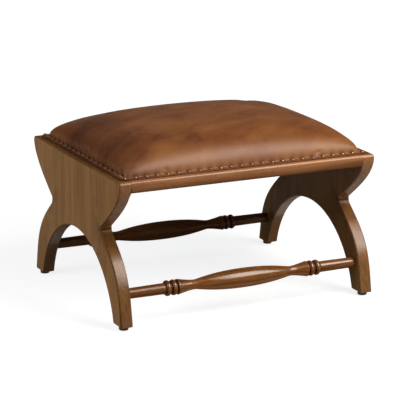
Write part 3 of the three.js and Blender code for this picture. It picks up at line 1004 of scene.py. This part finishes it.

# Each nail draws the foot of the crown in, and the band swells up to a lip between two nails.
# The lip is painted paler as a painted highlight; painted shade darkens the creases at the
# crown's foot beside the nails, and the band's outer part and folded edge.
painted_hide_shade = leather.data.attributes.new("painted_hide_shade", "FLOAT", "POINT")
painted_lip_highlight = leather.data.attributes.new("painted_lip_highlight", "FLOAT", "POINT")
for vertex, mark, paler in zip(leather.data.vertices, painted_hide_shade.data, painted_lip_highlight.data):
    x, y, z = vertex.co
    outside, direction = nearest_side(x, y)
    pull = nail_pull(x, y, direction)
    rise = max(0, z - crown_foot)
    on_top = z > crown_foot - 0.0003
    if on_top and outside < 0.012:
        lean = Vector((
            math.copysign(abs(direction[0]) ** 14, direction[0]),
            math.copysign(abs(direction[1]) ** 14, direction[1]), 0)).normalized()
        unevenness = 1 + 0.5 * noise.noise(Vector((x * 30, y * 30, 4)))
        out = unevenness * (0.0006 - 0.0017 * pull ** 1.3)
        fine = noise.noise(Vector((x * 210, y * 210, z * 25))) * 0.0003
        depth = rise if outside < 0.002 else 3 * outside
        roll = 0.5 + 0.5 * math.cos(math.pi * climb(rise, 0.004, 0.034))
        vertex.co += lean * 0.003 * roll * math.exp(-max(0, outside) / 0.0033)
        vertex.co += lean * out * math.exp(-depth / 0.006)
        vertex.co += lean * fine * math.exp(-depth / 0.009)
        if outside > 0:
            vertex.co.z += (
                0.0009 * (1 - pull) * bell(outside, 0.007, 0.004)
                - 0.0004 * pull * bell(outside, 0.0075, 0.005))
    # Painted highlight: the lip between two nails is marked to be painted paler.
    if on_top:
        paler.value = (1 - 0.4 * pull) * bell(outside, 0.007, 0.0016)
    # Painted shade: the creases at the crown's foot, most beside the nails, the band at the nails,
    # and its outer part and folded edge.
    if outside < 0.0035:
        mark.value = (0.1 + 0.6 * pull) * math.exp(-rise / (0.002 + 0.003 * pull)) * math.exp(
            -max(0, -outside - 0.004) / 0.004)
    else:
        mark.value = max(
            0.4 * pull * bell(outside, 0.0075, 0.005), 0.75 * climb(outside, 0.009, 0.004))
apply_modifier(leather, "SOLIDIFY", thickness=0.0014, offset=-1)
bpy.ops.object.shade_smooth()

leather_finish, tree, shader = new_finish(
    "antiqued_leather", IOR=1.48, Specular_IOR_Level=0.05, Coat_IOR=1.56, Coat_Roughness=0.54,
    Sheen_Weight=0.042, Sheen_Roughness=0.5, Sheen_Tint=(1, 0.9, 0.78, 1))
place = object_place(tree)
clouds = mottle(tree, place, 7.5, 3, Distortion=0.6)
specks = mottle(tree, place, 60, 5, Roughness=0.7)
pebbles = cell_texture(tree, place, 700, feature="SMOOTH_F1")
creases = mottle(tree, place, 180, 4, Distortion=1.5)
strokes = add_node(
    tree, "ShaderNodeMapping",
    {"Vector": place, "Rotation": (0, 0, math.radians(27)), "Scale": (1, 0.4, 1)},
    vector_type="TEXTURE").outputs["Vector"]
strokes = mottle(tree, strokes, 9, 3, Roughness=0.55, Distortion=0.5)
tone = reckon(tree, "MULTIPLY_ADD", specks, 0.1, times(tree, clouds, 0.24))
tone = reckon(tree, "MULTIPLY_ADD", strokes, 0.24, tone)
spot = axes(tree, place)
# Painted highlight: the tone is lifted along the foot of the front roll, except at the left end.
painted_front_highlight = times(
    tree, spread(tree, spot["Y"], -0.225, -0.185, 0.09, 0), spread(tree, spot["X"], -0.26, -0.16))
tone = reckon(tree, "ADD", tone, reckon(tree, "ADD", painted_front_highlight, 0.2))

# Where the hide is darker (below 0) or lighter, fading out from a middle point: partly its own
# mottling, partly painted shade over its left end and painted sheen on its top and front right.
mottle_and_painted_light_patches = (
    (-0.26, -0.09, 0.15, -0.155), (-0.26, 0.08, 0.15, -0.12), (-0.17, -0.125, 0.05, -0.06),
    (-0.09, -0.155, 0.045, -0.04), (-0.18, -0.19, 0.05, 0.06), (-0.13, -0.18, 0.05, 0.03),
    (0.04, -0.15, 0.05, -0.03), (-0.03, -0.1, 0.09, 0.05), (0.23, -0.15, 0.06, 0.08),
    (-0.13, -0.165, 0.06, -0.05), (0.06, 0.16, 0.13, -0.03),
    (-0.14, 0, 0.08, 0.03), (0.14, 0, 0.08, 0.03))
flat_place = reckon_vector(tree, "MULTIPLY", place, (1, 1, 0))
for x, y, reach, strength in mottle_and_painted_light_patches:
    away = reckon_vector(tree, "DISTANCE", flat_place, (x, y, 0), "Value")
    tone = reckon(tree, "ADD", tone, spread(tree, away, 0, reach, strength, 0))
colour = colour_steps(
    tree, tone, (0.3, (78, 39, 20)), (0.42, (108, 62, 32)),
    (0.53, (136, 84, 46)), (0.68, (164, 110, 62)))
hide_shade_share = read_mark(tree, "painted_hide_shade")
# Painted shade blends the hide towards a dark brown; it also thins the coat below.
colour = blend_colours(tree, times(tree, hide_shade_share, 0.8), colour, stain(62, 29, 13))
# Painted highlight: the lip between the nails is painted paler.
on_lip_highlight = times(tree, read_mark(tree, "painted_lip_highlight"), 0.6)
colour = blend_colours(tree, on_lip_highlight, colour, stain(212, 150, 104))
hide_height = reckon(tree, "MULTIPLY_ADD", pebbles, 0.6, times(tree, creases, 0.6))
feed(
    shader, Base_Color=colour,
    Roughness=spread(tree, specks, 0.3, 0.7, 0.46, 0.36),
    Coat_Weight=times(tree, square_on(tree), spread(tree, hide_shade_share, 0, 1, 1, 0.4)),
    Normal=relief(tree, hide_height, 0.2, 0.0004))
dress(leather, leather_finish)
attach(leather, "root")
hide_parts("leather_cover")


# Nails. Domed copper-brass upholstery nails, driven by hand a thumb's width apart through the
# band, so no two stand quite alike; the domes are bright and the rims dark with patina.
nail_seat = 0.3288
nail_radius = 0.0052
nail_rise = 0.0031
dome_radius = (nail_radius ** 2 + nail_rise ** 2) / (2 * nail_rise)
hammer = random.Random(7)


def by_hand(error):
    """A small error either way."""
    return hammer.uniform(-error, error)


def copies_joined(first, name, places):
    """Sets a copy of a piece at each (turn, location), and joins the copies into one piece."""
    copies = []
    for turn, location in places:
        copy = copy_of(first)
        copy.rotation_euler = turn
        copy.location = location
        copies.append(copy)
    joined = join(copies)
    joined.name = name
    bpy.ops.object.transform_apply()
    return joined


bpy.ops.mesh.primitive_uv_sphere_add(
    segments=14, ring_count=16, radius=dome_radius, location=(0, 0, nail_rise - dome_radius))
bpy.ops.object.transform_apply()
first_nail = bpy.context.object
open_for_editing(first_nail)
bpy.ops.mesh.bisect(plane_co=(0, 0, 0), plane_no=(0, 0, 1), clear_inner=True, use_fill=True)
face_outward()
close_editing()
bpy.ops.object.shade_smooth_by_angle(angle=math.radians(50))

nail_finish, tree, shader = new_finish("antique_brass", Metallic=0.9)
place = object_place(tree)
height = axes(tree, place)["Z"]
polish = spread(tree, height, nail_seat + near, nail_seat + 0.0012)
tarnish = mottle(tree, place, 400, 3)
feed(
    shader,
    Base_Color=blend_colours(
        tree, times(tree, polish, spread(tree, tarnish, 0.3, 0.6, 0.5, 1)),
        stain(78, 42, 26), stain(210, 162, 124)),
    Roughness=spread(tree, polish, 0, 1, 0.5, 0.3),
    Normal=relief(tree, tarnish, 0.12, 0.0003))
dress(first_nail, nail_finish)

long_row = [-nail_x + 2 * nail_x * step / long_spaces for step in range(long_spaces + 1)]
short_row = [-nail_y + 2 * nail_y * step / short_spaces for step in range(1, short_spaces)]
for node, spots in (
        ("front_nail_row", [(x, -nail_y) for x in long_row]),
        ("back_nail_row", [(x, nail_y) for x in long_row]),
        ("left_nail_row", [(-nail_x, y) for y in short_row]),
        ("right_nail_row", [(nail_x, y) for y in short_row])):
    row = copies_joined(first_nail, node.replace("_row", "_heads"), [(
        (by_hand(0.05), by_hand(0.05), hammer.uniform(0, 3)),
        (x + by_hand(0.0004), y + by_hand(0.0004), nail_seat)) for x, y in spots])
    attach(row, "root")
    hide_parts(node)
bpy.data.objects.remove(first_nail)


# Dust cover. Black spun cloth stretched under the rails and stapled, its edges turned in; it
# sags a little between the staples.
dust_half_length = 0.2767
dust_half_depth = 0.239
dust_height = 0.2995
hem_width = 0.013
bpy.ops.mesh.primitive_grid_add(x_subdivisions=96, y_subdivisions=84, size=2, location=(0, 0, 0))
dust_cover = bpy.context.object
dust_cover.name = "dust_cloth"
for vertex in dust_cover.data.vertices:
    along, across = vertex.co.x, vertex.co.y
    sag = max(0, 1 - abs(along) ** 2.4) * max(0, 1 - abs(across * 1.1) ** 2.4)
    ripple = noise.noise(Vector((along * 7, across * 7, 0)))
    from_edge = min((1 - abs(along)) * dust_half_length, (1 - abs(across)) * dust_half_depth)
    hem = from_edge < hem_width
    vertex.co = (
        along * dust_half_length, across * dust_half_depth,
        dust_height - 0.0003 * hem - 0.0003 * sag + 0.00008 * ripple)
apply_modifier(dust_cover, "SOLIDIFY", thickness=0.0003, offset=0)
bpy.ops.object.shade_smooth()

dust_finish, tree, shader = new_finish(
    "black_dust_cloth", IOR=1.4, Sheen_Weight=0.3, Sheen_Roughness=0.5)
place = object_place(tree)
fibres = mottle(tree, place, 900, 4, Distortion=2)
bonds = cell_texture(tree, place, 600)
feed(
    shader,
    Base_Color=colour_steps(tree, fibres, (0.3, (18, 18, 18)), (0.7, (38, 37, 36))),
    Roughness=spread(tree, bonds, 0, 0.6, 0.8, 0.98),
    Normal=relief(tree, bonds, 0.4, 0.0003))
dress(dust_cover, dust_finish)
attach(dust_cover, "root")
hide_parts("dust_cover")


# Staples. Flat steel wire, shot through the hem of the dust cover into the two rails; only the
# crown of each shows, and its legs go up into the wood.
staple_size = (0.0102, 0.0012, 0.0006)
staple_round = 0.00045
staple_y = 0.2325
staple_z = 0.2988
first_staple_x = -0.247
staple_pitch = 0.038
first_staple = square_bar("first_staple", (0, 0, 0), staple_size)
open_for_editing(first_staple)
round_edges(
    first_staple, staple_round, 3, lambda a, b: abs(a.y - b.y) > 0.001 and max(a.z, b.z) < 0)
close_editing()
dress(first_staple, screw_finish)
staples = copies_joined(first_staple, "dust_cover_staples", [(
    (0, 0, by_hand(0.15)),
    (first_staple_x + staple_pitch * step + by_hand(0.003),
     side * (staple_y + by_hand(0.001)), staple_z))
    for side in (-1, 1) for step in range(14)])
bpy.data.objects.remove(first_staple)
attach(staples, "root")


# Floor. A seamless white sheet; the camera sees it white, and it keeps the stool's soft shadow.
# Polished pieces see a painted reflection of it, warmer, with painted shade near the stool.
bpy.ops.mesh.primitive_plane_add(size=60, location=(0, 0, 0))
floor = bpy.context.object
floor.name = "studio_floor"
floor_finish, tree, shader = new_finish("white_floor", Roughness=0.9, Specular_IOR_Level=0)
rays = add_node(tree, "ShaderNodeLightPath").outputs
seen = reckon(tree, "MAXIMUM", rays["Is Camera Ray"], rays["Is Transmission Ray"])
place = object_place(tree)
away = reckon_vector(tree, "LENGTH", place, result="Value")
far_from_shade = reckon_vector(tree, "DISTANCE", place, (0, 0.15, 0), "Value")
# Painted shade in the floor's reflection: dim under the stool, brighter further off.
painted_shade_reflection = spread(tree, far_from_shade, 0.14, 0.4, 0.05, 0.7)
painted_shade_reflection = times(tree, rays["Is Glossy Ray"], painted_shade_reflection)
seen_light = times(tree, seen, spread(tree, away, 0.5, 2.5, 0.83, 1))
feed(
    shader,
    Base_Color=blend_colours(tree, seen, (0.3, 0.3, 0.3, 1), (0.37, 0.37, 0.37, 1)),
    Emission_Strength=reckon(tree, "MAXIMUM", painted_shade_reflection, seen_light),
    Emission_Color=blend_colours(
        tree, rays["Is Glossy Ray"], (0.985, 0.992, 1, 1), (1, 0.9, 0.78, 1)))
dress(floor, floor_finish)


# Lamps and surround. One tall, wide softbox stands over the front right corner and draws the
# highlights; a weak one fills from the left, and the pale surround fills the shadows.
def softbox(name, place, aim, width, height, power, colour):
    bpy.ops.object.light_add(
        type="AREA", location=place, rotation=facing(Vector(place) - Vector(aim)))
    lamp = bpy.context.object
    lamp.name = name
    lamp.data.shape = "RECTANGLE"
    lamp.data.size = width
    lamp.data.size_y = height
    lamp.data.energy = power
    lamp.data.color = colour


softbox("key_softbox", (0.9, -1.4, 1.7), (0, -0.1, 0.2), 1.3, 1.6, 49, (1, 0.94, 0.86))
softbox("left_softbox", (-2.2, -0.1, 1.0), (-0.2, 0, 0.2), 1.2, 1.2, 20, (1, 1, 1))

surround = bpy.data.worlds.new("pale_surround")
bpy.context.scene.world = surround
surround.use_nodes = True
tree = surround.node_tree
looked_at = add_node(tree, "ShaderNodeLightPath").outputs["Is Camera Ray"]
feed(
    tree.nodes["Background"],
    Strength=reckon(tree, "MAXIMUM", looked_at, 0.115),
    Color=blend_colours(tree, looked_at, (1, 0.95, 0.88, 1), (1, 1, 1, 1)))
bpy.context.scene.view_settings.view_transform = "Standard"
